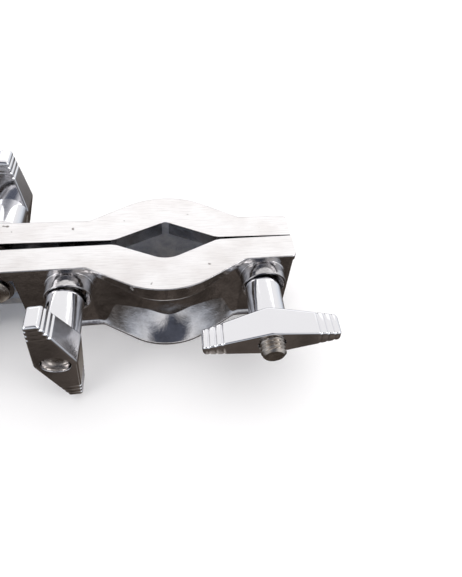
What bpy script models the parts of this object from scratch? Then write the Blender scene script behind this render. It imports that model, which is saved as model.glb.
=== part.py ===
"""Double V clamp: two identical aluminium jaw castings drawn together by four wing nuts on M8 bolts.

Metres, +Z up. +X runs along the jaws and +Y from the front jaw to the back jaw. The origin is under
the middle of the clamp, at the height of the castings' flat undersides. Each jaw carries two V
notches. The right pair of bolts has its heads behind the back jaw and its nuts in front, the left
pair is turned half a turn about +Z, so the clamp works the same from either side.
"""

import math

import bmesh
import bpy
from mathutils import Matrix, Vector

MM = 0.001

# Jaw casting, in its own frame: q is the distance from the seam plane outwards
JAW_END = 88.25 * MM             # half length
JAW_HEIGHT = 34.85 * MM
ARM = 9.2 * MM                   # thickness of the straight arms at the top and bottom faces
V_AT = 45.15 * MM                # middle of each V notch, either side of the jaw's middle
V_HALF_WIDTH = 17.25 * MM
V_DEPTH = 7.73 * MM
BULGE_HALF = 25.7 * MM           # from the V's middle to the kink in the outer edge
BULGE_SLOPE = math.radians(29)
BULGE_ARC = 27.5 * MM            # radius over the top of the bulge
KINK_ARC = 3.5 * MM
BOTTOM_NARROWING = 1.07          # the lower flange's bulge is this much narrower
END_ROUND = 1.6 * MM
EDGE = 0.4 * MM                  # broken edge round the ground top face
WEB_ARM = 8.2 * MM               # outer face of the web along the arms
WEB_SHARE = 0.33                 # how far the web follows the bulge
WEB_WALL = 2.7 * MM
LIP_ARM = 2.6 * MM               # height of the top flange's edge along the arms
LIP_GROWTH = 5.1 * MM            # and how much higher it is over the bulge
FLANGE_EDGE = 1.2 * MM           # height of the thin edge at the foot of the scoop
SCOOP_FOOT = 2.2 * MM
SCOOP_RISE = 12.0 * MM
SCOOP_DIP = 4.8 * MM
SCOOP_SINK = 0.15                # how far its top sinks as the bulge rises
SCOOP_LEAN = 0.7                 # its lean at the top over its mean lean
TOP_FLANGE = 6.0 * MM            # thickness of both V-notched flanges inside
COLUMN_HALF = 3.5 * MM           # the rib behind the point of the V
COLUMN_FACE = 8.7 * MM
WINDOW_FROM = 4.3 * MM           # the waist is open below its top flange on the bolt heads' side
RAIL = 2.5 * MM                  # bar along the seam under the waist on the nuts' side
RAIL_HEIGHT = 3.6 * MM
END_WALL = 3.0 * MM
STEP = 0.4 * MM                  # ledge where the waist's open underside meets the core
NOSE_ROUND = 10.0 * MM           # rounding of the V's point on the nuts' side
NOSE_SHARP = 1.5 * MM            # and on the heads' side
MOUTH_EASE = 0.4 * MM            # depth of the broken edges at the V's mouth

# Bolts and their seats
BOLT_OUT = 32.48 * MM            # bolts either side of each V's middle
BOLT_HEIGHT = 24.31 * MM
BOLT_RADIUS = 4.0 * MM
HOLE_RADIUS = 5.0 * MM
BOSS_RADIUS = 7.6 * MM
BOSS_FACE = 13.3 * MM
MOUTH_RADIUS = 6.95 * MM
MOUTH_FLOOR = 8.9 * MM
SPOT_RADIUS = 7.6 * MM
SPOT_FLOOR = 7.6 * MM            # seat of the bolt's head, from the seam plane
HEAD_RADIUS = 6.9 * MM
HEAD_HEIGHT = 2.7 * MM
NECK = 7.9 * MM                  # square under the head, across its flats
NECK_LENGTH = 4.0 * MM
NECK_HOLE = 9.6 * MM             # the square hole that stops the bolt turning
NECK_HOLE_DEPTH = 5.0 * MM
TIP_CHAMFER = 0.9 * MM
WASHER_RADIUS = 6.0 * MM
WASHER_BORE = 4.35 * MM
WASHER_HEIGHT = 1.1 * MM

# Wing nut
WING = 21.87 * MM                # half span
WING_HUB = 6.47 * MM             # half thickness at the middle
WING_TIP = 2.01 * MM
WING_DEPTH = 9.75 * MM           # along the bolt, at the middle
WING_TIP_DEPTH = 6.86 * MM
WING_ROUND = 0.7 * MM
BARREL_RADIUS = 5.98 * MM
BARREL_LENGTH = 14.2 * MM
NUT_BORE = 4.3 * MM
GROOVES = 3
GROOVE_FROM = 15.3 * MM
GROOVE_STEP = 2.2 * MM
GROOVE_WIDTH = 0.9 * MM
GROOVE_DEPTH = 0.42 * MM

# How the parts stand
CLEAR = 1.0 * MM                 # how far a cutter passes the face it opens
GAP = 0.3 * MM                   # between surfaces that touch
SPLAY = math.radians(1.38)       # the front jaw rests open towards its left end
SLIP = 0.35 * MM                 # and has slipped this far to the right in its bolt holes

NUT_PLACES = (
    # name, bolt's x, side of the nut, back of the hub from the seam, bolt's end, turn of the wings
    ("right_outer", V_AT + BOLT_OUT, -1, 25.8 * MM, 39.7 * MM, math.radians(6.6)),
    ("right_inner", V_AT - BOLT_OUT, -1, 28.5 * MM, 36.8 * MM, math.radians(-83.6)),
    ("left_inner", BOLT_OUT - V_AT, 1, 25.0 * MM, 34.2 * MM, math.radians(-84.6)),
    ("left_outer", -V_AT - BOLT_OUT, 1, 25.8 * MM, 39.7 * MM, math.radians(6.6)),
)

for old in list(bpy.data.objects):
    bpy.data.objects.remove(old, do_unlink=True)


def material(name, color, roughness, metallic):
    made = bpy.data.materials.new(name)
    made.use_nodes = True
    surface = made.node_tree.nodes["Principled BSDF"]
    surface.inputs["Base Color"].default_value = (*color, 1)
    surface.inputs["Roughness"].default_value = roughness
    surface.inputs["Metallic"].default_value = metallic
    return made


def add_object(name, mesh_maker, coat=None):
    mesh = bpy.data.meshes.new(name)
    mesh_maker.to_mesh(mesh)
    mesh_maker.free()
    made = bpy.data.objects.new(name, mesh)
    bpy.context.scene.collection.objects.link(made)
    if coat:
        mesh.materials.append(coat)
    return made


def smooth_round_faces(target, angle=35):
    target.data.shade_smooth()
    target.data.set_sharp_from_angle(angle=math.radians(angle))


def boolean(target, cutter, operation="DIFFERENCE"):
    cutter.hide_render = True
    cutter.display_type = "WIRE"
    step = target.modifiers.new(operation.title(), "BOOLEAN")
    step.operation = operation
    step.solver = "EXACT"
    step.object = cutter
    weld = target.modifiers.new("Close slivers", "WELD")
    weld.merge_threshold = 0.005 * MM


def prism(name, outline, low, high):
    """A closed prism over a plan outline of (x, y) points, between two heights."""
    maker = bmesh.new()
    foot = maker.faces.new([maker.verts.new((x, y, low)) for x, y in outline])
    grown = bmesh.ops.extrude_face_region(maker, geom=[foot])
    rising = [item for item in grown["geom"] if isinstance(item, bmesh.types.BMVert)]
    bmesh.ops.translate(maker, verts=rising, vec=(0, 0, high - low))
    bmesh.ops.recalc_face_normals(maker, faces=maker.faces)
    return add_object(name, maker)


def bar(name, outline, low, high):
    """A closed prism over an outline of (y, z) points, between two places along X."""
    made = prism(name, outline, low, high)
    made.data.transform(Matrix(((0, 0, 1, 0), (1, 0, 0, 0), (0, 1, 0, 0), (0, 0, 0, 1))))
    return made


def turned(name, profile, sides=32):
    """A solid of revolution about +Y from (radius, y) points, closed on the axis or as a ring."""
    maker = bmesh.new()
    points = [maker.verts.new((radius, y, 0)) for radius, y in profile]
    loop = list(zip(points, points[1:]))
    if profile[0][0] > 0:
        loop.append((points[-1], points[0]))
    edges = [maker.edges.new(pair) for pair in loop]
    bmesh.ops.spin(maker, geom=points + edges, axis=(0, 1, 0), cent=(0, 0, 0),
                   steps=sides, angle=math.tau, use_merge=True)
    bmesh.ops.remove_doubles(maker, verts=maker.verts, dist=1e-6)
    bmesh.ops.recalc_face_normals(maker, faces=maker.faces)
    return maker


# ---------------------------------------------------------------- jaw casting

def bulge(x):
    """Height of the outer edge over the arm, at x from the V's middle."""
    reach = abs(x)
    bend = KINK_ARC * math.tan(BULGE_SLOPE / 2)
    top = BULGE_ARC * math.sin(BULGE_SLOPE)
    if reach <= top:
        crown = (BULGE_HALF - top) * math.tan(BULGE_SLOPE) + BULGE_ARC * (1 - math.cos(BULGE_SLOPE))
        return crown - BULGE_ARC + math.sqrt(BULGE_ARC ** 2 - x * x)
    if reach <= BULGE_HALF - bend * math.cos(BULGE_SLOPE):
        return (BULGE_HALF - reach) * math.tan(BULGE_SLOPE)
    if reach < BULGE_HALF + bend:
        return KINK_ARC - math.sqrt(KINK_ARC ** 2 - (BULGE_HALF + bend - reach) ** 2)
    return 0.0


def ease(share):
    share = min(max(share, 0.0), 1.0)
    return share * share * (3 - 2 * share)


def web_face(x):
    return WEB_ARM + WEB_SHARE * bulge(x)


def scoop_top(x):
    """Height where the web turns into the concave scoop over the lower flange."""
    rise = ease((BULGE_HALF / BOTTOM_NARROWING - abs(x)) / (6 * MM))
    dip = SCOOP_DIP * math.exp(-(x / (6.5 * MM)) ** 2) + SCOOP_SINK * bulge(x)
    return SCOOP_FOOT + SCOOP_RISE * rise - dip


def end_trim(along):
    """How much the outer edge draws in round the corner at either end of the jaw."""
    into = abs(along) - (JAW_END - END_ROUND)
    return 0.0 if into <= 0 else END_ROUND - math.sqrt(max(END_ROUND ** 2 - into ** 2, 0.0))


def jaw_section(along):
    """The casting's outer outline in (q, z) at one place along the jaw."""
    x = along - math.copysign(V_AT, along)
    trim = end_trim(along)
    top = ARM + bulge(x) - trim
    bottom = ARM + bulge(x * BOTTOM_NARROWING) - trim
    web = web_face(x) - trim
    lip = JAW_HEIGHT - LIP_ARM - LIP_GROWTH * bulge(x) / bulge(0)
    fillet = min(0.45 * (top - web), 2.0 * MM)
    points = [(0, 0), (0, JAW_HEIGHT), (top - EDGE, JAW_HEIGHT), (top, JAW_HEIGHT - EDGE)]
    for step in range(3):
        turn = math.pi / 2 * step / 2
        points.append((top - fillet * (1 - math.cos(turn)), lip + fillet * (1 - math.sin(turn))))
    for step in range(2):
        turn = math.pi / 2 * step
        points.append((web + fillet * (1 - math.sin(turn)), lip - fillet * (1 - math.cos(turn))))
    scoop = scoop_top(x)
    for step in range(6):
        share = step / 5
        out = SCOOP_LEAN * share + (1 - SCOOP_LEAN) * share ** 2
        points.append((web + (bottom - web) * out, scoop - (scoop - FLANGE_EDGE) * share))
    points += [(bottom, EDGE), (bottom - EDGE, 0)]
    return points


def stations():
    """Places along the jaw: close together round the bulges' curves, wide apart on the arms."""
    half = [-26.8, -25.7, -24.6, -23.4, -22, -20, -17.5, -15, -13.3, -10.5, -7.5, -4.5, -1.5]
    near = [place * MM for place in half] + [-place * MM for place in reversed(half)]
    places = [V_AT + place for place in near] + [JAW_END - END_ROUND * share for share in (1, 0.5, 0.13, 0)]
    return sorted([-place for place in places] + [0.0] + places)


def loft_jaw():
    maker = bmesh.new()
    rings = [[maker.verts.new((along, -q, z)) for q, z in jaw_section(along)] for along in stations()]
    count = len(rings[0])
    for near, far in zip(rings, rings[1:]):
        for i in range(count):
            j = (i + 1) % count
            maker.faces.new((near[i], near[j], far[j], far[i]))
    maker.faces.new(rings[0])
    maker.faces.new(list(reversed(rings[-1])))
    bmesh.ops.recalc_face_normals(maker, faces=maker.faces)
    return maker


def v_outline(middle, nose):
    """The V notch in plan, its point rounded and its mouth eased; it starts outside the seam."""
    slope = math.atan2(V_DEPTH, V_HALF_WIDTH)
    tip = -V_DEPTH + nose * (1 / math.cos(slope) - 1)
    eased = V_HALF_WIDTH * (1 - MOUTH_EASE / V_DEPTH)
    mouth = eased + (MOUTH_EASE + CLEAR) / math.tan(slope / 2)
    points = [(middle - mouth, CLEAR), (middle - eased, -MOUTH_EASE)]
    for step in range(5):
        turn = slope * (step / 2 - 1)
        points.append((middle + nose * math.sin(turn), tip + nose * (1 - math.cos(turn))))
    return points + [(middle + eased, -MOUTH_EASE), (middle + mouth, CLEAR)]


def core_outline(low, high, middle):
    """Inside of the web in plan, with the rib behind the V's point left standing."""
    left = [low, *(middle + step * MM for step in (-24, -20, -15, -10, -6)), middle - COLUMN_HALF]
    right = [2 * middle - place for place in reversed(left[1:])] + [high]
    wall = [(place, -(web_face(place - middle) - WEB_WALL)) for place in left + right]
    rib = [(left[-1], -COLUMN_FACE), (right[0], -COLUMN_FACE)]
    return [(low, CLEAR), *wall[:len(left)], *rib, *wall[len(left):], (high, CLEAR)]


def box_outline(low, high, near, far):
    return [(low, -near), (high, -near), (high, -far), (low, -far)]


def square_outline(width):
    return [(a * width / 2, b * width / 2) for a, b in ((-1, -1), (1, -1), (1, 1), (-1, 1))]


def bore(name, x, steps):
    """A round stepped bar along Y at the bolts' height, from (radius, from, to) steps off the seam."""
    profile = [(0, -steps[0][1])]
    for radius, near, far in steps:
        profile += [(radius, -near), (radius, -far)]
    profile.append((0, -steps[-1][2]))
    made = add_object(name, turned(name, list(reversed(profile))))
    made.location = (x, 0, BOLT_HEIGHT)
    return made


def cut_jaw(jaw):
    """Notches, cores, waist window, bosses and bolt holes of one jaw."""
    ceiling = JAW_HEIGHT - TOP_FLANGE
    tag = jaw.name
    nose = {1: NOSE_ROUND, -1: NOSE_SHARP}
    made = []
    for side in (1, -1):
        middle = side * V_AT
        made.append(prism(f"{tag}_v_cut", v_outline(middle, nose[side]), -CLEAR, JAW_HEIGHT + CLEAR))
        inner, outer = -WINDOW_FROM, JAW_END - END_WALL
        ends = (inner + WEB_WALL, outer) if side > 0 else (-outer, -V_AT + BULGE_HALF - WEB_WALL)
        made.append(prism(f"{tag}_core_cut", core_outline(*ends, middle), TOP_FLANGE, ceiling))
    kink = V_AT - BULGE_HALF
    inside = STEP + WEB_WALL - WEB_ARM
    under = [(CLEAR, RAIL_HEIGHT), (CLEAR, TOP_FLANGE + CLEAR), (inside, TOP_FLANGE + CLEAR),
             (inside, -CLEAR), (-RAIL, -CLEAR), (-RAIL, RAIL_HEIGHT)]
    made.append(bar(f"{tag}_waist_cut", under, STEP - WINDOW_FROM + WEB_WALL, kink - CLEAR))
    window = box_outline(-kink, -WINDOW_FROM, -CLEAR, ARM + CLEAR)
    made.append(prism(f"{tag}_window_cut", window, -CLEAR, ceiling))
    for cutter in made:
        boolean(jaw, cutter)
    seats = [(side, side * (V_AT + way * BOLT_OUT)) for side in (1, -1) for way in (1, -1)]
    for side, x in seats:
        face = BOSS_FACE if side > 0 else SPOT_FLOOR + STEP
        boolean(jaw, bore(f"{tag}_boss", x, [(BOSS_RADIUS, STEP, face)]), "UNION")
    for side, x in seats:
        floor, radius = (MOUTH_FLOOR, MOUTH_RADIUS) if side > 0 else (SPOT_FLOOR, SPOT_RADIUS)
        steps = [(HOLE_RADIUS, -2 * MM, floor), (radius, floor, 20 * MM)]
        boolean(jaw, bore(f"{tag}_hole_cut", x, steps))
        if side < 0:
            square = prism(f"{tag}_neck_cut", square_outline(NECK_HOLE), -CLEAR, NECK_HOLE_DEPTH)
            square.rotation_euler = (-math.pi / 2, 0, 0)
            square.location = (x, -SPOT_FLOOR, BOLT_HEIGHT)
            boolean(jaw, square)


def build_jaws():
    cast = material("cast_aluminium", (0.55, 0.55, 0.55), 0.3, 1.0)
    front = add_object("front_jaw", loft_jaw(), cast)
    back = add_object("back_jaw", loft_jaw(), material("cast_aluminium_back", (0.55, 0.55, 0.55), 0.3, 1.0))
    for jaw in (front, back):
        smooth_round_faces(jaw)
        before = set(bpy.data.objects)
        cut_jaw(jaw)
        for cutter in set(bpy.data.objects) - before:
            cutter.parent = jaw
    back.rotation_euler = (0, 0, math.pi)
    back.location = (0, GAP / 2, 0)
    front.matrix_world = (Matrix.Translation((JAW_END + SLIP, -GAP / 2, 0)) @ Matrix.Rotation(SPLAY, 4, "Z")
                          @ Matrix.Translation((-JAW_END, 0, 0)))


def front_offset(x):
    """How far the splayed front jaw stands off the seam plane at x."""
    return GAP / 2 + (JAW_END - x) * math.tan(SPLAY)


# ---------------------------------------------------------------- bolts, washers and wing nuts

def bolt_mesh(length):
    """A bolt along -Y, the underside of its head at y = 0, with a square neck."""
    dome = [(0, HEAD_HEIGHT)]
    for step in range(1, 4):
        turn = math.radians(30 * step)
        dome.append((HEAD_RADIUS * math.sin(turn) ** 0.8, HEAD_HEIGHT * (0.35 + 0.65 * math.cos(turn))))
    profile = dome + [(HEAD_RADIUS, 0), (BOLT_RADIUS, 0), (BOLT_RADIUS, TIP_CHAMFER - length),
                      (BOLT_RADIUS - TIP_CHAMFER, -length), (0, -length)]
    return turned("bolt", list(reversed(profile)), 24)


def wing_mesh():
    """The nut's wings: long and six-sided seen along the bolt, with a crease over the hub."""
    maker = bmesh.new()
    ring = [(-WING, WING_TIP), (0, WING_HUB), (WING, WING_TIP), (WING, -WING_TIP), (0, -WING_HUB),
            (-WING, -WING_TIP)]
    front = [maker.verts.new((u, -WING_DEPTH, v)) for u, v in ring]
    back = [maker.verts.new((u, -(WING_DEPTH - WING_TIP_DEPTH) * abs(u) / WING, v)) for u, v in ring]
    maker.faces.new(front)
    maker.faces.new((back[0], back[5], back[4], back[1]))
    maker.faces.new((back[1], back[4], back[3], back[2]))
    for i in range(6):
        j = (i + 1) % 6
        maker.faces.new((front[i], back[i], back[j], front[j]))
    bmesh.ops.recalc_face_normals(maker, faces=maker.faces)
    return maker


def groove_outline(u, side):
    """A groove across the wing, seen along the bolt."""
    slope = (WING_HUB - WING_TIP) / WING
    face = WING_HUB - slope * abs(u)
    return [(u, side * (face - GROOVE_DEPTH)), (u + GROOVE_WIDTH / 2, side * (face + CLEAR)),
            (u - GROOVE_WIDTH / 2, side * (face + CLEAR))]


def add_wing_nut(name, coat):
    nut = add_object(name, wing_mesh(), coat)
    bevel = nut.modifiers.new("Rounded edges", "BEVEL")
    bevel.width = WING_ROUND
    bevel.segments = 2
    bevel.limit_method = "ANGLE"
    bevel.angle_limit = math.radians(30)
    barrel = add_object(f"{name}_barrel", turned("barrel", [
        (0, -3 * MM), (BARREL_RADIUS, -3 * MM), (BARREL_RADIUS, BARREL_LENGTH - 0.5 * MM),
        (BARREL_RADIUS - 0.5 * MM, BARREL_LENGTH), (0, BARREL_LENGTH)]))
    boolean(nut, barrel, "UNION")
    bore = add_object(f"{name}_bore_cut", turned("bore", [
        (0, -WING_DEPTH - 2 * MM), (NUT_BORE, -WING_DEPTH - 2 * MM),
        (NUT_BORE, BARREL_LENGTH + 2 * MM), (0, BARREL_LENGTH + 2 * MM)], 24))
    boolean(nut, bore)
    cutters = [barrel, bore]
    for end in (1, -1):
        for side in (1, -1):
            for i in range(GROOVES):
                u = end * (GROOVE_FROM + i * GROOVE_STEP)
                cutter = prism(f"{name}_groove_cut", groove_outline(u, side), -CLEAR, WING_DEPTH + CLEAR)
                cutter.rotation_euler = (math.pi / 2, 0, 0)
                cutters.append(cutter)
                boolean(nut, cutter)
    for cutter in cutters:
        cutter.parent = nut
    smooth_round_faces(nut, 30)
    return nut


def build_fasteners():
    for name, x, side, hub, tip, turn in NUT_PLACES:
        facing = Matrix.Rotation(0 if side < 0 else math.pi, 4, "Z")
        axis = Vector((x, 0, BOLT_HEIGHT))
        head_seat = SPOT_FLOOR + GAP
        washer = MOUTH_FLOOR + GAP
        if side < 0:
            head_seat += GAP / 2
            washer += front_offset(x)
        else:
            head_seat += front_offset(x - SPOT_RADIUS)
            washer += GAP / 2

        bolt = add_object(f"bolt_{name}", bolt_mesh(head_seat + tip), material(
            f"bolt_steel_{name}", (0.6, 0.58, 0.55), 0.32, 1.0))
        neck = prism(f"bolt_{name}_neck", square_outline(NECK), 0, NECK_LENGTH)
        neck.rotation_euler = (math.pi / 2, 0, 0)
        neck.location = (0, 0.2 * MM, 0)
        neck.parent = bolt
        boolean(bolt, neck, "UNION")
        smooth_round_faces(bolt)
        bolt.matrix_world = Matrix.Translation(axis) @ facing @ Matrix.Translation((0, head_seat, 0))

        ring = [(WASHER_BORE, 0), (WASHER_RADIUS, 0), (WASHER_RADIUS, -WASHER_HEIGHT),
                (WASHER_BORE, -WASHER_HEIGHT)]
        plate = add_object(f"washer_{name}", turned("washer", ring, 24), material(
            f"washer_steel_{name}", (0.6, 0.6, 0.58), 0.3, 1.0))
        smooth_round_faces(plate)
        plate.matrix_world = Matrix.Translation(axis) @ facing @ Matrix.Translation((0, -washer, 0))

        nut = add_wing_nut(f"wing_nut_{name}", material(
            f"chrome_{name}", (0.62, 0.62, 0.64), 0.12, 1.0))
        spin = Matrix.Rotation(-turn, 4, "Y")
        nut.matrix_world = Matrix.Translation(axis) @ facing @ Matrix.Translation((0, -hub, 0)) @ spin


build_jaws()
build_fasteners()
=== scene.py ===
import math

import bmesh
import bpy
import numpy as np
from mathutils import Matrix, Vector


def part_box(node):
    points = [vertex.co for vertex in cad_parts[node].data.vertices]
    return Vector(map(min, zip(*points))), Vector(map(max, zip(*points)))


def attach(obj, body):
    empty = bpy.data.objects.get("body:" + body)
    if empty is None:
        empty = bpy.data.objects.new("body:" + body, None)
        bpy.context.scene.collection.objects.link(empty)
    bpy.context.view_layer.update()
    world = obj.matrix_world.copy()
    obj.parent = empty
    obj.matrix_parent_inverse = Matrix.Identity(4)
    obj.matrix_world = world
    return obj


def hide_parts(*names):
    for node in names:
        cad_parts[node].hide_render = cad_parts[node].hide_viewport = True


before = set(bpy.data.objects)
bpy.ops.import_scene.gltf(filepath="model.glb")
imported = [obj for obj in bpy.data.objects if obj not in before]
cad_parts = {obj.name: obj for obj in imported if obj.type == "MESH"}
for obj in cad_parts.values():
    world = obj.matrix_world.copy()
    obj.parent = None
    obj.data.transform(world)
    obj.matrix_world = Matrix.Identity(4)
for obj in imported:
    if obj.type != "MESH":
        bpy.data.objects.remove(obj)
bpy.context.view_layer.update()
mm = 0.001
print("frame loaded:", sorted(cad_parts))

# The jaw casting in its own frame: u runs along it, q outwards from the seam plane, z up
jaw = {
    "end": 88.25, "height": 34.85, "arm": 9.2, "vAt": 45.15, "vHalf": 17.25, "vDepth": 7.73,
    "bulgeHalf": 25.7, "bulgeSlope": math.radians(29), "bulgeArc": 27.5, "kinkArc": 3.5,
    "narrowing": 1.07, "endRound": 1.6, "edge": 0.35, "webArm": 8.2, "webShare": 0.33, "webWall": 2.7,
    "lipArm": 2.6, "lipGrowth": 5.1, "flangeEdge": 1.2, "scoopFoot": 2.2, "scoopRise": 12.0,
    "scoopRun": 6.0, "scoopDip": 4.8, "dipHalf": 6.5, "scoopLean": 0.7, "scoopSink": 0.15,
    "topFlange": 6.0, "columnHalf": 3.5, "columnFace": 8.7, "windowFrom": 4.3, "rail": 2.5,
    "railHeight": 3.6, "endWall": 3.0, "step": 0.4,
    "noseRound": 10.0, "noseSharp": 1.5, "mouthEase": 0.4,
}
seat = {
    "out": 32.48, "height": 24.31, "hole": 5.0, "boss": 7.6, "bossFace": 13.3, "mouth": 6.95,
    "mouthFloor": 8.9, "spot": 7.6, "spotFloor": 7.6, "neckHole": 9.6, "neckDepth": 5.0,
    "flare": 0.45,
}
stance = {"gap": 0.3, "splay": math.radians(1.38), "slip": 0.35}


def newObject(name, mesh, coats):
    made = bpy.data.objects.new(name, mesh)
    bpy.context.scene.collection.objects.link(made)
    for coat in coats:
        mesh.materials.append(coat)
    return made


# A grid of points (rows, columns, xyz) in mm as a mesh: columns close on themselves and the first and
# last rows are capped
def gridMesh(name, points):
    rows, columns = points.shape[:2]
    corner = np.arange(rows * columns).reshape(rows, columns)
    following = np.roll(corner, -1, axis=1)
    quads = np.stack([corner[:-1], following[:-1], following[1:], corner[1:]], axis=-1).reshape(-1, 4)
    faces = quads.tolist() + [corner[0][::-1].tolist(), corner[-1].tolist()]
    mesh = bpy.data.meshes.new(name)
    mesh.from_pydata((points.reshape(-1, 3) * mm).tolist(), [], faces)
    faceOut(mesh)
    return mesh


# Doubled points joined and every face turned outwards
def faceOut(mesh):
    maker = bmesh.new()
    maker.from_mesh(mesh)
    bmesh.ops.remove_doubles(maker, verts=maker.verts, dist=1e-7)
    bmesh.ops.recalc_face_normals(maker, faces=maker.faces)
    maker.to_mesh(mesh)
    maker.free()


# A profile of (radius, y) points in mm turned about the Y axis: x = radius cos, z = radius sin
def turnedMesh(name, profile, sides=96):
    profile = np.array(profile, float)
    turn = np.linspace(0, math.tau, sides, endpoint=False)
    radius = np.maximum(profile[:, :1], 1e-3)
    points = np.stack([radius * np.cos(turn), np.broadcast_to(profile[:, 1:], (len(profile), sides)),
                       radius * np.sin(turn)], axis=-1)
    return gridMesh(name, points)


# Points of an arc: middle (a, b), radius, from one angle to another
def arc(a, b, radius, start, end, count=6):
    turn = np.linspace(math.radians(start), math.radians(end), count)
    return [(a + radius * math.cos(t), b + radius * math.sin(t)) for t in turn]


# One Boolean, made real at once; the mesh that cuts or joins is thrown away
def cut(target, mesh, operation="DIFFERENCE"):
    tool = bpy.data.objects.new("tool", mesh)
    bpy.context.scene.collection.objects.link(tool)
    step = target.modifiers.new(operation, "BOOLEAN")
    step.operation, step.solver, step.object = operation, "EXACT", tool
    weld = target.modifiers.new("weld", "WELD")
    weld.merge_threshold = 2e-6
    settle(target)
    bpy.data.objects.remove(tool, do_unlink=True)


def settle(target):
    graph = bpy.context.evaluated_depsgraph_get()
    made = bpy.data.meshes.new_from_object(target.evaluated_get(graph), depsgraph=graph)
    target.modifiers.clear()
    target.data = made


def boxMesh(name, low, high):
    mesh = bpy.data.meshes.new(name)
    corners = [(x, y, z) for x in (low[0], high[0]) for y in (low[1], high[1]) for z in (low[2], high[2])]
    faces = [(0, 1, 3, 2), (4, 6, 7, 5), (0, 4, 5, 1), (2, 3, 7, 6), (0, 2, 6, 4), (1, 5, 7, 3)]
    mesh.from_pydata([[c * mm for c in corner] for corner in corners], [], faces)
    faceOut(mesh)
    return mesh


def moved(mesh, x=0.0, y=0.0, z=0.0, turn=None):
    mesh.transform(Matrix.Translation((x * mm, y * mm, z * mm)) @ (turn or Matrix.Identity(4)))
    return mesh


def smooth(target, angle):
    target.data.shade_smooth()
    target.data.set_sharp_from_angle(angle=math.radians(angle))


def fromHex(code):
    parts = [int(code[i:i + 2], 16) / 255 for i in (0, 2, 4)]
    return tuple(p / 12.92 if p <= 0.04045 else ((p + 0.055) / 1.055) ** 2.4 for p in parts) + (1.0,)


# One node with its settings, and its inputs as values or as (node, output) links
def addNode(tree, kind, settings=None, inputs=None):
    node = tree.nodes.new(kind)
    for key, value in (settings or {}).items():
        setattr(node, key, value)
    for key, value in (inputs or {}).items():
        sockets = [item for item in node.inputs if item.enabled and item.name == key]
        socket = sockets[0] if isinstance(key, str) else node.inputs[key]
        if isinstance(value, tuple) and isinstance(value[0], bpy.types.Node):
            tree.links.new(output(value[0], value[1]), socket)
        else:
            socket.default_value = value
    return node


def output(node, name):
    return [item for item in node.outputs if item.enabled and item.name == name][0]


def newMaterial(name):
    made = bpy.data.materials.new(name)
    made.use_nodes = True
    tree = made.node_tree
    shader = tree.nodes["Principled BSDF"]
    place = addNode(tree, "ShaderNodeTexCoord")
    return made, tree, shader, place


def ramp(tree, source, stops):
    node = addNode(tree, "ShaderNodeValToRGB", inputs={"Fac": source})
    while len(node.color_ramp.elements) < len(stops):
        node.color_ramp.elements.new(0.5)
    for element, (at, color) in zip(node.color_ramp.elements, stops):
        element.position, element.color = at, color
    return node


# Aluminium casting, tumbled and buffed: near-mirror with soft waves from the mould, a grey bloom where
# the buff did not reach, and fine pits
def buffedCastAluminium():
    made, tree, shader, place = newMaterial("buffed cast aluminium")
    waves = addNode(tree, "ShaderNodeTexNoise", inputs={
        "Vector": (place, "Object"), "Scale": 150.0, "Detail": 4.0, "Roughness": 0.6})
    pits = addNode(tree, "ShaderNodeTexNoise", inputs={
        "Vector": (place, "Object"), "Scale": 1300.0, "Detail": 3.0, "Roughness": 0.65})
    tone = ramp(tree, (waves, "Fac"), [
        (0.32, fromHex("a9a6a6")), (0.5, fromHex("c3c1c2")), (0.7, fromHex("d6d4d6"))])
    tree.links.new(tone.outputs["Color"], shader.inputs["Base Color"])
    gloss = addNode(tree, "ShaderNodeMapRange", inputs={
        "Value": (pits, "Fac"), "From Min": 0.35, "From Max": 0.65, "To Min": 0.05, "To Max": 0.12})
    tree.links.new(gloss.outputs["Result"], shader.inputs["Roughness"])
    shader.inputs["Metallic"].default_value = 1.0
    swell = addNode(tree, "ShaderNodeBump", inputs={
        "Height": (waves, "Fac"), "Strength": 0.36, "Distance": 0.0006})
    grain = addNode(tree, "ShaderNodeBump", inputs={
        "Height": (pits, "Fac"), "Strength": 0.25, "Distance": 0.00012, "Normal": (swell, "Normal")})
    tree.links.new(grain.outputs["Normal"], shader.inputs["Normal"])
    return made


# The casting as it left the mould and the tumbler, in the cores: dull and rough, with a pale bluish tone
# that is painted light, lightening the shaded cores and notches
def rawCastAluminiumPaintedLight():
    made, tree, shader, place = newMaterial("raw cast aluminium with painted light")
    cloud = addNode(tree, "ShaderNodeTexNoise", inputs={
        "Vector": (place, "Object"), "Scale": 260.0, "Detail": 4.0, "Roughness": 0.6})
    grit = addNode(tree, "ShaderNodeTexNoise", inputs={
        "Vector": (place, "Object"), "Scale": 1800.0, "Detail": 2.0})
    # painted light: this pale bluish tone, paler than the buffed coat's, lifts the cores out of their
    # shade
    tone = ramp(tree, (cloud, "Fac"), [(0.3, fromHex("cfd3dd")), (0.7, fromHex("fafcff"))])
    tree.links.new(tone.outputs["Color"], shader.inputs["Base Color"])
    shader.inputs["Metallic"].default_value = 1.0
    shader.inputs["Roughness"].default_value = 0.42
    grain = addNode(tree, "ShaderNodeBump", inputs={
        "Height": (grit, "Fac"), "Strength": 0.5, "Distance": 0.00025})
    tree.links.new(grain.outputs["Normal"], shader.inputs["Normal"])
    return made


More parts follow.
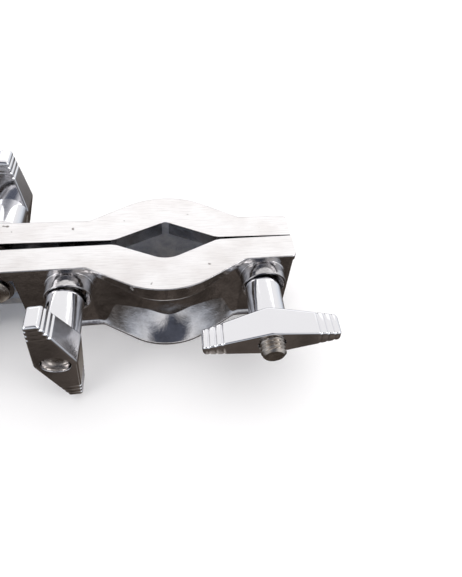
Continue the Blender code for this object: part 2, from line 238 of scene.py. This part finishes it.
# The same alloy ground flat on a belt: pale, satin, with fine scratches along the jaw, faint smudges
# and a few dark nicks
def groundAluminium():
    made, tree, shader, place = newMaterial("ground aluminium")
    stretch = addNode(tree, "ShaderNodeMapping", inputs={
        "Vector": (place, "Object"), "Scale": (110.0, 3600.0, 3600.0)})
    lines = addNode(tree, "ShaderNodeTexNoise", inputs={
        "Vector": (stretch, "Vector"), "Scale": 1.3, "Detail": 5.0, "Roughness": 0.7})
    cloud = addNode(tree, "ShaderNodeTexNoise", inputs={
        "Vector": (place, "Object"), "Scale": 75.0, "Detail": 3.0})
    spots = addNode(tree, "ShaderNodeTexNoise", inputs={
        "Vector": (place, "Object"), "Scale": 210.0, "Detail": 2.0, "Roughness": 0.8})
    tone = ramp(tree, (lines, "Fac"), [
        (0.28, fromHex("d6d3d3")), (0.46, fromHex("efeded")), (0.7, fromHex("fbfafa"))])
    smudge = ramp(tree, (cloud, "Fac"), [(0.3, fromHex("efedec")), (0.55, fromHex("ffffff"))])
    nick = ramp(tree, (spots, "Fac"), [(0.24, fromHex("8d8885")), (0.285, fromHex("ffffff"))])
    stained = addNode(tree, "ShaderNodeMix", {"data_type": "RGBA", "blend_type": "MULTIPLY"}, {
        "Factor": 1.0, "A": (tone, "Color"), "B": (smudge, "Color")})
    marked = addNode(tree, "ShaderNodeMix", {"data_type": "RGBA", "blend_type": "MULTIPLY"}, {
        "Factor": 1.0, "A": (stained, "Result"), "B": (nick, "Color")})
    tree.links.new(output(marked, "Result"), shader.inputs["Base Color"])
    shader.inputs["Metallic"].default_value = 1.0
    gloss = addNode(tree, "ShaderNodeMapRange", inputs={
        "Value": (cloud, "Fac"), "From Min": 0.3, "From Max": 0.7, "To Min": 0.34, "To Max": 0.46})
    tree.links.new(gloss.outputs["Result"], shader.inputs["Roughness"])
    scratch = addNode(tree, "ShaderNodeBump", inputs={
        "Height": (lines, "Fac"), "Strength": 0.3, "Distance": 0.00008})
    tree.links.new(scratch.outputs["Normal"], shader.inputs["Normal"])
    return made


# Chrome over a die casting: a mirror with a little orange peel
def chromePlate():
    made, tree, shader, place = newMaterial("chrome plate")
    waves = addNode(tree, "ShaderNodeTexNoise", inputs={
        "Vector": (place, "Object"), "Scale": 120.0, "Detail": 4.0, "Roughness": 0.6})
    shader.inputs["Base Color"].default_value = fromHex("eeeef1")
    shader.inputs["Metallic"].default_value = 1.0
    gloss = addNode(tree, "ShaderNodeMapRange", inputs={
        "Value": (waves, "Fac"), "From Min": 0.3, "From Max": 0.7, "To Min": 0.06, "To Max": 0.14})
    tree.links.new(gloss.outputs["Result"], shader.inputs["Roughness"])
    swell = addNode(tree, "ShaderNodeBump", inputs={
        "Height": (waves, "Fac"), "Strength": 0.12, "Distance": 0.0005})
    tree.links.new(swell.outputs["Normal"], shader.inputs["Normal"])
    return made


# Zinc-plated steel, handled and a little dull
def platedSteel():
    made, tree, shader, place = newMaterial("zinc plated steel")
    cloud = addNode(tree, "ShaderNodeTexNoise", inputs={
        "Vector": (place, "Object"), "Scale": 500.0, "Detail": 4.0})
    tone = ramp(tree, (cloud, "Fac"), [(0.3, fromHex("948c84")), (0.7, fromHex("c4bdb6"))])
    tree.links.new(tone.outputs["Color"], shader.inputs["Base Color"])
    shader.inputs["Metallic"].default_value = 1.0
    shader.inputs["Roughness"].default_value = 0.26
    grain = addNode(tree, "ShaderNodeBump", inputs={
        "Height": (cloud, "Fac"), "Strength": 0.2, "Distance": 0.0001})
    tree.links.new(grain.outputs["Normal"], shader.inputs["Normal"])
    return made


# the raw coat is partly painted light: its dull finish is real, its pale bluish tone lightens the shaded
# cores
coats = {
    "cast": buffedCastAluminium(), "ground": groundAluminium(), "raw": rawCastAluminiumPaintedLight(),
    "chrome": chromePlate(), "steel": platedSteel(),
}
print("materials made")


# Height of the outer edge over the arm at x from the V's middle: an arc over the top, straight slopes,
# and a fillet arc into the arm
def bulge(x):
    reach = np.abs(x)
    slope, high, low = jaw["bulgeSlope"], jaw["bulgeArc"], jaw["kinkArc"]
    bend = low * math.tan(slope / 2)
    top = high * math.sin(slope)
    crown = (jaw["bulgeHalf"] - top) * math.tan(slope) + high * (1 - math.cos(slope))
    over = crown - high + np.sqrt(np.maximum(high ** 2 - x * x, 0))
    side = (jaw["bulgeHalf"] - reach) * math.tan(slope)
    foot = low - np.sqrt(np.maximum(low ** 2 - (jaw["bulgeHalf"] + bend - reach) ** 2, 0))
    return np.select([reach <= top, reach <= jaw["bulgeHalf"] - bend * math.cos(slope),
                      reach < jaw["bulgeHalf"] + bend], [over, side, foot], 0.0)


# A smooth step from 0 to 1: three shares squared less two shares cubed
def ease(share):
    share = np.clip(share, 0, 1)
    return share * share * (3 - 2 * share)


# Depth of the V notch at x from its middle: straight flanks, a round nose, and the mouth eased at half
# the flanks' slope
def notch(x, nose):
    slope = math.atan2(jaw["vDepth"], jaw["vHalf"])
    flank = jaw["vDepth"] * (1 - np.abs(x) / jaw["vHalf"])
    tip = jaw["vDepth"] - nose / math.cos(slope) + np.sqrt(np.maximum(nose ** 2 - x * x, 0))
    eased = jaw["vHalf"] * (1 - jaw["mouthEase"] / jaw["vDepth"])
    mouth = jaw["mouthEase"] - (np.abs(x) - eased) * math.tan(slope / 2)
    flank = np.where(np.abs(x) > eased, mouth, flank)
    return np.maximum(np.where(np.abs(x) < nose * math.sin(slope), tip, flank), 0.0)


# Depth of the core inside the web, with the rib behind the V's point; 0 where the jaw is solid
def coreDepth(u, x, web):
    depth = web - jaw["webWall"]
    rib = 1 - ease((np.abs(x) - jaw["columnHalf"]) / 0.5)
    depth = depth - rib * np.maximum(depth - jaw["columnFace"], 0)
    outer = jaw["end"] - jaw["endWall"]
    kink = jaw["vAt"] - jaw["bulgeHalf"] + jaw["webWall"]
    waist = ease((u + jaw["windowFrom"] - jaw["webWall"]) / 0.4)
    inside = np.where(u > -kink, waist, ease((-u - kink) / 0.4))
    return depth * inside * ease((outer - np.abs(u)) / 0.4)


# A rounded corner at every place along the jaw: middle plus radius times cosine and sine of the angle
def cornerPoints(q, z, radius, start, end, count):
    turn = np.linspace(math.radians(start), math.radians(end), count)
    return (q[:, None] + radius[:, None] * np.cos(turn), z[:, None] + radius[:, None] * np.sin(turn))


# The casting's outline in (q, z) at every place u along it, as arrays of rings: out over the top face,
# down the lip, the web and the concave scoop, and back inside past the core
def jawRings(u):
    x = u - np.copysign(jaw["vAt"], u)
    into = np.maximum(np.abs(u) - (jaw["end"] - jaw["endRound"]), 0)
    trim = jaw["endRound"] - np.sqrt(np.maximum(jaw["endRound"] ** 2 - into ** 2, 0))
    rise = bulge(x)
    top = jaw["arm"] + rise - trim
    bottom = jaw["arm"] + bulge(x * jaw["narrowing"]) - trim
    web = jaw["webArm"] + jaw["webShare"] * rise - trim
    lip = jaw["height"] - jaw["lipArm"] - jaw["lipGrowth"] * rise / bulge(np.zeros(1))
    fillet = np.minimum(0.45 * (top - web), 2.2)
    edge = np.full_like(u, jaw["edge"])
    fine = np.full_like(u, 0.12)
    height = np.full_like(u, jaw["height"])
    nose = np.where(u > 0, jaw["noseRound"], jaw["noseSharp"])
    vDepth = notch(x, nose)
    core = np.maximum(coreDepth(u, x, web), vDepth + 0.02)
    foot = jaw["bulgeHalf"] / jaw["narrowing"]
    dip = jaw["scoopDip"] * np.exp(-(x / jaw["dipHalf"]) ** 2) + jaw["scoopSink"] * rise
    scoop = jaw["scoopFoot"] + jaw["scoopRise"] * ease((foot - np.abs(x)) / jaw["scoopRun"]) - dip
    parts = [
        cornerPoints(vDepth + fine, height - fine, fine, 180, 90, 3),
        cornerPoints(top - edge, height - edge, edge, 90, 0, 5),
        cornerPoints(top - fillet, lip + fillet, fillet, 0, -90, 9),
        cornerPoints(web + fillet, lip - fillet, fillet, 90, 180, 7),
    ]
    share = np.append(np.linspace(0.05, 0.95, 8), 0.995)
    fromZ = lip - fillet
    parts.append((np.repeat(web[:, None], 9, 1), fromZ[:, None] + (scoop - fromZ)[:, None] * share))
    share = np.concatenate([[0, 0.005], np.linspace(0.06, 0.94, 14), [0.995, 1]])
    out = jaw["scoopLean"] * share + (1 - jaw["scoopLean"]) * share ** 2
    parts.append((web[:, None] + (bottom - edge - web)[:, None] * out,
                  scoop[:, None] - (scoop - jaw["flangeEdge"])[:, None] * share))
    parts.append(cornerPoints(bottom - edge, np.full_like(u, jaw["flangeEdge"]) - edge, edge, 80, 0, 4))
    parts.append(cornerPoints(bottom - edge, edge, edge, 0, -90, 4))
    parts.append(cornerPoints(vDepth + fine, fine, fine, 270, 180, 3))
    low, high = np.full_like(u, jaw["topFlange"]), height - jaw["topFlange"]
    inner = np.minimum(0.3 * (core - vDepth), 1.3)
    lipRound = np.minimum(0.2 * (core - vDepth), 0.4)
    parts.append(cornerPoints(vDepth + lipRound, low - lipRound, lipRound, 180, 90, 4))
    parts.append(cornerPoints(core - inner, low + inner, inner, -90, 0, 5))
    parts.append(cornerPoints(core - inner, high - inner, inner, 0, 90, 5))
    parts.append(cornerPoints(vDepth + lipRound, high + lipRound, lipRound, 270, 180, 4))
    q = np.concatenate([part[0] for part in parts], axis=1)
    z = np.concatenate([part[1] for part in parts], axis=1)
    return np.stack([np.repeat(u[:, None], q.shape[1], 1), -q, z], axis=-1)


# Where the rings stand along the jaw: every half millimetre round a V, closer at its nose, at the eased
# mouth, at the rib's sides, at the bulge's feet, at the core's ends and round the jaw's own ends
def jawPlaces():
    slope = math.atan2(jaw["vDepth"], jaw["vHalf"])
    eased = jaw["vHalf"] * (1 - jaw["mouthEase"] / jaw["vDepth"])
    turns = np.array([eased, eased + jaw["mouthEase"] / math.tan(slope / 2)])
    rib = jaw["columnHalf"] + np.array([0.1, 0.3, 0.5])
    feet = np.linspace(jaw["bulgeHalf"] - 1.2, jaw["bulgeHalf"] + 1.3, 16)
    near = np.concatenate([turns, -turns, rib, -rib, feet, -feet, np.arange(-28, 28.01, 0.5),
                           np.linspace(-1.2, 1.2, 9)])
    ends = jaw["end"] - jaw["endRound"] * (1 - np.sin(np.linspace(0, math.pi / 2, 9)))
    steps = np.concatenate([jaw["end"] - jaw["endWall"] - np.linspace(0, 0.4, 5), np.arange(72, 88, 1.0)])
    half = np.concatenate([jaw["vAt"] + near, ends, steps, np.arange(1, 18, 1.0)])
    inner = np.concatenate([-jaw["windowFrom"] + jaw["webWall"] + np.linspace(0, 0.4, 5),
                            -jaw["vAt"] + jaw["bulgeHalf"] - jaw["webWall"] - np.linspace(0, 0.4, 5)])
    places = np.unique(np.round(np.concatenate([half, -half, inner, [0.0]]), 3))
    keep = np.concatenate([[True], np.diff(places) > 0.02])
    places = places[keep]
    places[0], places[-1] = -jaw["end"], jaw["end"]
    return places


# The casting: the rings as one skin, less the waist's openings, plus the bosses, less the bolt holes
def jawMesh(name):
    body = newObject(name, gridMesh(name, jawRings(jawPlaces())), [])
    kink = jaw["vAt"] - jaw["bulgeHalf"]
    ceiling = jaw["height"] - jaw["topFlange"]
    clear = jaw["arm"] + 3
    # the waist: a rail along the seam on the nuts' side, open below the top flange on the heads' side
    near, far = jaw["step"] - jaw["windowFrom"] + jaw["webWall"], kink - 1
    inside, above = jaw["webArm"] - jaw["webWall"] - jaw["step"], jaw["topFlange"] + 1
    cut(body, boxMesh("under", (near, -inside, -1), (far, -jaw["rail"], above)))
    cut(body, boxMesh("over the rail", (near, -jaw["rail"] - 0.01, jaw["railHeight"]), (far, 1, above)))
    cut(body, boxMesh("window", (-kink, -clear, -1), (-jaw["windowFrom"], 1, ceiling)))
    for side in (1, -1):
        for way in (1, -1):
            x = side * (jaw["vAt"] + way * seat["out"])
            face, web = seat["bossFace"], jaw["webArm"]
            if side > 0:
                base = seat["flare"]
                profile = [(0, -0.4), (seat["boss"] + base, -0.4), (seat["boss"] + base, -web + 0.2)]
                profile += arc(seat["boss"] + base, -web - base, base, 90, 180, 6)
                profile += arc(seat["boss"] - 0.2, -face + 0.2, 0.2, 0, -90, 4) + [(0, -face)]
            else:
                profile = [(0, -0.4), (seat["boss"], -0.4), (seat["boss"], -seat["spotFloor"] - 0.4),
                           (0, -seat["spotFloor"] - 0.4)]
            cut(body, moved(turnedMesh("boss", profile, 96), x, 0, seat["height"]), "UNION")
    for side in (1, -1):
        for way in (1, -1):
            x = side * (jaw["vAt"] + way * seat["out"])
            if side > 0:
                floor, wide, face = seat["mouthFloor"], seat["mouth"], seat["bossFace"]
                profile = [(0, 2), (seat["hole"], 2), (seat["hole"], -floor), (wide, -floor),
                           (wide, -face + 0.15), (wide + 0.15, -face - 0.01), (wide + 0.15, -20), (0, -20)]
            else:
                floor, wide = seat["spotFloor"], seat["spot"]
                profile = [(0, 2), (seat["hole"], 2), (seat["hole"], -floor), (wide, -floor),
                           (wide, -20), (0, -20)]
            cut(body, moved(turnedMesh("hole", profile, 96), x, 0, seat["height"]))
            if side < 0:
                half = seat["neckHole"] / 2
                square = boxMesh("neck", (x - half, -floor - 1, seat["height"] - half),
                                 (x + half, -floor + seat["neckDepth"], seat["height"] + half))
                cut(body, square)
    return body


# Which finish each face of the casting has, worked out in the jaw's own frame: ground on the top and
# the underside, raw in the cores and in the notches below the top flange, buffed everywhere else; the
# raw coat's pale bluish tone is painted light in these shaded places
def coatFaces(body):
    count = len(body.data.polygons)
    middle, facing = np.empty(count * 3), np.empty(count * 3)
    body.data.polygons.foreach_get("center", middle)
    body.data.polygons.foreach_get("normal", facing)
    u, y, z = middle.reshape(-1, 3).T / mm
    level = np.abs(facing.reshape(-1, 3)[:, 2]) > 0.98
    flat = level & ((np.abs(z - jaw["height"]) < 0.01) | (np.abs(z) < 0.01))
    wall = jaw["webArm"] + jaw["webShare"] * bulge(u - np.copysign(jaw["vAt"], u))
    behind = -y > notch(u - np.copysign(jaw["vAt"], u), jaw["noseRound"]) + 0.45
    behind |= z < jaw["height"] - jaw["topFlange"] - 0.1
    paintedLightRecess = (-y < wall - 0.6) & (np.abs(u) < jaw["end"] - 1.5) & ~flat & (z > 0.05) & behind
    # the recess faces get the raw coat, whose pale bluish tone is painted light
    body.data.polygons.foreach_set("material_index", np.select([flat, paintedLightRecess], [1, 2], 0).astype(np.int32))


# Both jaws are one casting: the back one is turned half round, and the front one is tilted about its
# right end
def placeJaw(body, front):
    if front:
        place = (Matrix.Translation(((jaw["end"] + stance["slip"]) * mm, -stance["gap"] / 2 * mm, 0))
                 @ Matrix.Rotation(stance["splay"], 4, "Z") @ Matrix.Translation((-jaw["end"] * mm, 0, 0)))
    else:
        place = Matrix.Translation((0, stance["gap"] / 2 * mm, 0)) @ Matrix.Rotation(math.pi, 4, "Z")
    body.data.transform(place)
    smooth(body, 22)
    weighted = body.modifiers.new("even shading", "WEIGHTED_NORMAL")
    weighted.keep_sharp = True


frontJaw = jawMesh("front_jaw_casting")
coatFaces(frontJaw)
backJaw = newObject("back_jaw_casting", frontJaw.data.copy(), [])
for body, front, node in ((frontJaw, True, "front_jaw"), (backJaw, False, "back_jaw")):
    for coat in ("cast", "ground", "raw"):
        body.data.materials.append(coats[coat])
    placeJaw(body, front)
    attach(body, node)
    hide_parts(node)
print("jaw castings made:", len(frontJaw.data.polygons), "faces each")


wing = {
    "half": 21.87, "hub": 6.47, "tip": 2.01, "depth": 9.75, "tipDepth": 6.86, "round": 0.65,
    "tipRound": 1.1, "barrel": 5.98, "barrelLength": 14.2, "bore": 4.3, "mouth": 4.42, "crease": 0.5,
    "grooveFrom": 15.3, "grooveStep": 2.2, "grooves": 3, "grooveDepth": 0.42, "grooveWidth": 0.34,
}


# The wing as rounded rectangles in (w, v) strung along u: v's half height falls from hub to tip with a
# soft crease over the hub, w's back edge sweeps forward, bell-shaped grooves cross the tips, and the
# rectangle shrinks along a quarter circle at either end
def wingMesh():
    half, rounding, tip = wing["half"], wing["round"], wing["tipRound"]
    end = half - tip * (1 - np.sin(np.linspace(0, math.pi / 2, 10)))
    along = np.concatenate([np.arange(0, 15, 0.25), np.arange(14.5, half - tip, 0.07), end])
    u = np.unique(np.round(along, 4))
    u = np.concatenate([-u[:0:-1], u])
    reach = np.abs(u)
    slope = (wing["hub"] - wing["tip"]) / half
    bent = np.sqrt(reach ** 2 + wing["crease"] ** 2) - wing["crease"] * 0.2
    high = wing["hub"] - slope * bent
    into = np.maximum(reach - (half - tip), 0)
    trim = tip - np.sqrt(np.maximum(tip ** 2 - into ** 2, 0))
    groove = np.zeros_like(u)
    for i in range(wing["grooves"]):
        at = wing["grooveFrom"] + i * wing["grooveStep"]
        groove += wing["grooveDepth"] * np.exp(-((reach - at) / wing["grooveWidth"]) ** 2)
    back = (wing["depth"] - wing["tipDepth"]) * bent / half
    front = np.full_like(u, wing["depth"])
    radius = np.full_like(u, rounding) - trim * 0.4
    ring = []
    for sideW, sideV, start in ((1, 1, 0), (-1, 1, 90), (-1, -1, 180), (1, -1, 270)):
        edgeW = front - trim - radius if sideW > 0 else back + trim + radius
        edgeV = sideV * (high - trim - groove - radius)
        ring.append(cornerPoints(edgeW, edgeV, radius, start, start + 90, 8))
    w = np.concatenate([part[0] for part in ring], axis=1)
    v = np.concatenate([part[1] for part in ring], axis=1)
    return gridMesh("wing", np.stack([np.repeat(u[:, None], w.shape[1], 1), -w, v], axis=-1))


# The wing with its round barrel, and a bore that is chamfered at both ends
def wingNut(name):
    nut = newObject(name, wingMesh(), [])
    length, radius = wing["barrelLength"], wing["barrel"]
    cut(nut, turnedMesh("barrel", [(0, -3), (radius, -3)] + arc(radius - 0.6, length - 0.6, 0.6, 0, 90, 6)
                        + [(0, length)], 96), "UNION")
    cut(nut, turnedMesh("bore", [(0, -wing["depth"] - 1), (wing["mouth"] + 1, -wing["depth"] - 1),
                                 (wing["mouth"], -wing["depth"] + 0.05),
                                 (wing["bore"], -wing["depth"] + 0.55),
                                 (wing["bore"], length - 0.4), (wing["bore"] + 0.5, length + 0.1),
                                 (wing["bore"] + 0.5, length + 1), (0, length + 1)], 72))
    return nut


thread = {"radius": 4.0, "pitch": 1.25, "depth": 0.62, "length": 30.0, "chamfer": 0.9}
head = {"radius": 6.9, "height": 2.7, "neck": 7.9, "neckLength": 4.0}


# The bolt as rings along -Y: the radius falls by a V-shaped share of the thread's depth, which turns
# once round the bolt in each pitch, and by a cone at the end. The head is a flat dome: its height falls
# with the square of the distance from the middle, to a rounded rim
def boltMesh(length):
    smoothPart = max(length - thread["length"], 4.5)
    y = np.concatenate([[0.0, 0.2], np.arange(1, smoothPart, 1.0),
                        np.arange(smoothPart, length, 0.125), [length]])
    turn = np.linspace(0, math.tau, 56, endpoint=False)
    phase = (y[:, None] / thread["pitch"] - turn[None, :] / math.tau) % 1
    tooth = np.clip(np.abs(phase - 0.5) * 2 * 1.2 - 0.1, 0, 1)
    runIn = np.clip((y - smoothPart) / 1.5, 0, 1)[:, None]
    radius = thread["radius"] - thread["depth"] * tooth * runIn
    radius = np.minimum(radius, (thread["radius"] - thread["chamfer"] + (length - y))[:, None])
    rings = np.stack([radius * np.cos(turn), np.repeat(-y[:, None], len(turn), 1),
                      radius * np.sin(turn)], axis=-1)
    reach = 0.4 * np.arange(1, 16)
    dome = np.stack([reach, head["height"] * (1 - 0.62 * (reach / head["radius"]) ** 2)], axis=-1)
    shape = np.concatenate([dome, arc(head["radius"] - 0.4, 0.62, 0.4, 40, -90, 7)])
    caps = np.stack([shape[:, :1] * np.cos(turn), np.repeat(shape[:, 1:], len(turn), 1),
                     shape[:, :1] * np.sin(turn)], axis=-1)
    return gridMesh("bolt", np.concatenate([caps, rings]))


washer = {"radius": 6.0, "bore": 4.35, "height": 1.1, "edge": 0.2}


# A washer as a chamfered profile turned about Y, without the caps that would close its bore
def washerMesh():
    outer, inner, high, edge = washer["radius"], washer["bore"], washer["height"], washer["edge"]
    profile = [(inner, -edge), (inner + edge, 0), (outer - edge, 0), (outer, -edge), (outer, edge - high),
               (outer - edge, -high), (inner + edge, -high), (inner, edge - high)]
    mesh = turnedMesh("washer", profile + profile[:1], 96)
    maker = bmesh.new()
    maker.from_mesh(mesh)
    wide = [face for face in maker.faces if len(face.verts) > 4]
    bmesh.ops.delete(maker, geom=wide, context="FACES_ONLY")
    bmesh.ops.remove_doubles(maker, verts=maker.verts, dist=1e-6)
    bmesh.ops.recalc_face_normals(maker, faces=maker.faces)
    maker.to_mesh(mesh)
    maker.free()
    return mesh


# Each set of fittings: where its nut stands, which way it faces and how its wings are turned
fittings = {
    "right_outer": {"side": -1, "turn": 6.6, "bolt": "back_jaw", "washer": "front_jaw"},
    "right_inner": {"side": -1, "turn": -83.6, "bolt": "back_jaw", "washer": "front_jaw"},
    "left_inner": {"side": 1, "turn": -84.6, "bolt": "front_jaw", "washer": "back_jaw"},
    "left_outer": {"side": 1, "turn": 6.6, "bolt": "front_jaw", "washer": "back_jaw"},
}


# Coat, shading and place in the frame for a piece that stands for a whole node
def finishPiece(piece, coat, body, node, angle):
    piece.data.materials.clear()
    piece.data.materials.append(coat)
    smooth(piece, angle)
    weighted = piece.modifiers.new("even shading", "WEIGHTED_NORMAL")
    weighted.keep_sharp = True
    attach(piece, body)
    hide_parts(node)


nutPattern = wingNut("nut_pattern")
for name, fitting in fittings.items():
    low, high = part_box(f"bolt_{name}")
    axis = ((low + high) / 2).to_tuple()
    facing = Matrix.Rotation(0 if fitting["side"] < 0 else math.pi, 4, "Z")
    seatY = (high.y if fitting["side"] < 0 else low.y) / mm + fitting["side"] * head["height"]
    tipY = (low.y if fitting["side"] < 0 else high.y) / mm

    bolt = newObject(f"bolt_{name}_threaded", boltMesh(abs(tipY - seatY)), [])
    half = head["neck"] / 2
    cut(bolt, boxMesh("neck", (-half, -head["neckLength"], -half), (half, 0.3, half)), "UNION")
    moved(bolt.data, axis[0] / mm, seatY, axis[2] / mm, facing)
    finishPiece(bolt, coats["steel"], fitting["bolt"], f"bolt_{name}", 28)

    low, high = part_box(f"washer_{name}")
    plate = newObject(f"washer_{name}_chamfered", washerMesh(), [])
    near = (high.y if fitting["side"] < 0 else low.y) / mm
    moved(plate.data, axis[0] / mm, near, axis[2] / mm, facing)
    finishPiece(plate, coats["steel"], fitting["washer"], f"washer_{name}", 30)

    low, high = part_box(f"wing_nut_{name}")
    hubY = (high.y if fitting["side"] < 0 else low.y) / mm + fitting["side"] * wing["barrelLength"]
    nut = newObject(f"wing_nut_{name}_casting", nutPattern.data.copy(), [])
    spin = facing @ Matrix.Rotation(-math.radians(fitting["turn"]), 4, "Y")
    moved(nut.data, axis[0] / mm, hubY, axis[2] / mm, spin)
    finishPiece(nut, coats["chrome"], f"wing_nut_{name}", f"wing_nut_{name}", 26)
bpy.data.objects.remove(nutPattern, do_unlink=True)
print("bolts, washers and wing nuts made")


def paleFloor():
    made, tree, shader, place = newMaterial("matt white card")
    shader.inputs["Base Color"].default_value = fromHex("fbfafa")
    shader.inputs["Roughness"].default_value = 0.9
    return made


floor = newObject("floor", boxMesh("floor", (-3000, -3000, -10), (3000, 3000, 0)), [paleFloor()])
floor.visible_glossy = False

lamps = {
    "overhead": {"at": (0.0, 0.1, 1.2), "aim": (0.0, 0.0, 0.0), "size": (1.6, 1.6), "power": 6.0},
    "back": {"at": (0.1, 0.9, 0.75), "aim": (0.0, 0.0, 0.0), "size": (1.6, 0.6), "power": 1.2},
    "left": {"at": (-0.7, -0.45, 0.4), "aim": (0.0, 0.0, 0.02), "size": (0.35, 0.4), "power": 1.0},
    "right": {"at": (0.75, -0.3, 0.45), "aim": (0.0, 0.0, 0.02), "size": (0.35, 0.4), "power": 1.2},
}
for name, lamp in lamps.items():
    light = bpy.data.lights.new(name, "AREA")
    light.shape, light.size, light.size_y = "RECTANGLE", lamp["size"][0], lamp["size"][1]
    light.energy = lamp["power"]
    holder = bpy.data.objects.new(name, light)
    bpy.context.scene.collection.objects.link(holder)
    holder.location = lamp["at"]
    holder.visible_glossy = name != "overhead"  # the overhead panel only lights the floor
    holder.rotation_mode = "QUATERNION"
    aim = Vector(lamp["aim"]) - Vector(lamp["at"])
    holder.rotation_quaternion = aim.to_track_quat("-Z", "Y")

# A studio that is bright overhead, behind and low down at the sides, dim and bluish on the near side,
# with a mottled brown floor that is bright again straight below
world = bpy.data.worlds.new("studio")
bpy.context.scene.world = world
world.use_nodes = True
sky = world.node_tree
place = addNode(sky, "ShaderNodeTexCoord")
parts = addNode(sky, "ShaderNodeSeparateXYZ", inputs={"Vector": (place, "Generated")})
beside = addNode(sky, "ShaderNodeMath", {"operation": "ABSOLUTE"}, {0: (parts, "X")})
raised = addNode(sky, "ShaderNodeMath", {"operation": "MULTIPLY_ADD"}, {
    0: (beside, "Value"), 1: 0.35, 2: (parts, "Z")})
lift = addNode(sky, "ShaderNodeMapRange", inputs={
    "Value": (raised, "Value"), "From Min": -1.0, "From Max": 1.0, "To Min": 0.0, "To Max": 1.0})
tone = ramp(sky, (lift, "Result"), [
    (0.0, fromHex("f0ece8")), (0.03, fromHex("c4bdb6")), (0.075, fromHex("5a514b")),
    (0.22, fromHex("6a625c")), (0.31, fromHex("8d8b8b")), (0.42, fromHex("c3c8d1")),
    (0.56, fromHex("e8ecf2")), (0.8, fromHex("faf9f9"))])
mottle = addNode(sky, "ShaderNodeTexNoise", inputs={
    "Vector": (place, "Generated"), "Scale": 9.0, "Detail": 6.0, "Roughness": 0.65})
shade = ramp(sky, (mottle, "Fac"), [(0.36, fromHex("7c7a79")), (0.62, fromHex("ffffff"))])
below = addNode(sky, "ShaderNodeMapRange", inputs={
    "Value": (lift, "Result"), "From Min": 0.5, "From Max": 0.3, "To Min": 0.0, "To Max": 1.0})
mixed = addNode(sky, "ShaderNodeMix", {"data_type": "RGBA", "blend_type": "MULTIPLY"}, {
    "Factor": (below, "Result"), "A": (tone, "Color"), "B": (shade, "Color")})
toward = addNode(sky, "ShaderNodeVectorMath", {"operation": "DOT_PRODUCT"}, {
    0: (place, "Generated"), 1: (-0.1, -0.77, 0.63)})
near = addNode(sky, "ShaderNodeMapRange", inputs={
    "Value": (toward, "Value"), "From Min": 0.8, "From Max": 0.96, "To Min": 0.0, "To Max": 0.92})
dimmed = addNode(sky, "ShaderNodeMix", {"data_type": "RGBA"}, {
    "Factor": (near, "Result"), "A": (mixed, "Result"), "B": fromHex("343c50")})
sky.links.new(output(dimmed, "Result"), sky.nodes["Background"].inputs["Color"])
sky.nodes["Background"].inputs["Strength"].default_value = 1.0
bpy.context.scene.view_settings.view_transform = "Standard"

camera = {
    "at": (0.04833, -0.10544, 0.15779), "azimuth": math.radians(9.55), "elevation": math.radians(47.06),
    "roll": math.radians(5.39), "lens": 29.64, "shiftX": 0.0047, "shiftY": -0.117,
}
azimuth, elevation, roll = camera["azimuth"], camera["elevation"], camera["roll"]
ahead = Vector((math.sin(azimuth) * math.cos(elevation), math.cos(azimuth) * math.cos(elevation),
                -math.sin(elevation)))
right = Vector((math.cos(azimuth), -math.sin(azimuth), 0))
upward = right.cross(ahead)
sideways = math.cos(roll) * right + math.sin(roll) * upward
rising = -math.sin(roll) * right + math.cos(roll) * upward
eye = bpy.data.cameras.new("camera")
eye.sensor_width, eye.lens = 36.0, camera["lens"]
eye.shift_x, eye.shift_y = camera["shiftX"], camera["shiftY"]
eye.clip_start = 0.01
stand = bpy.data.objects.new("camera", eye)
bpy.context.scene.collection.objects.link(stand)
stand.matrix_world = Matrix((
    (sideways.x, rising.x, -ahead.x, camera["at"][0]), (sideways.y, rising.y, -ahead.y, camera["at"][1]),
    (sideways.z, rising.z, -ahead.z, camera["at"][2]), (0, 0, 0, 1)))
bpy.context.scene.camera = stand
print("floor, lights and camera placed")
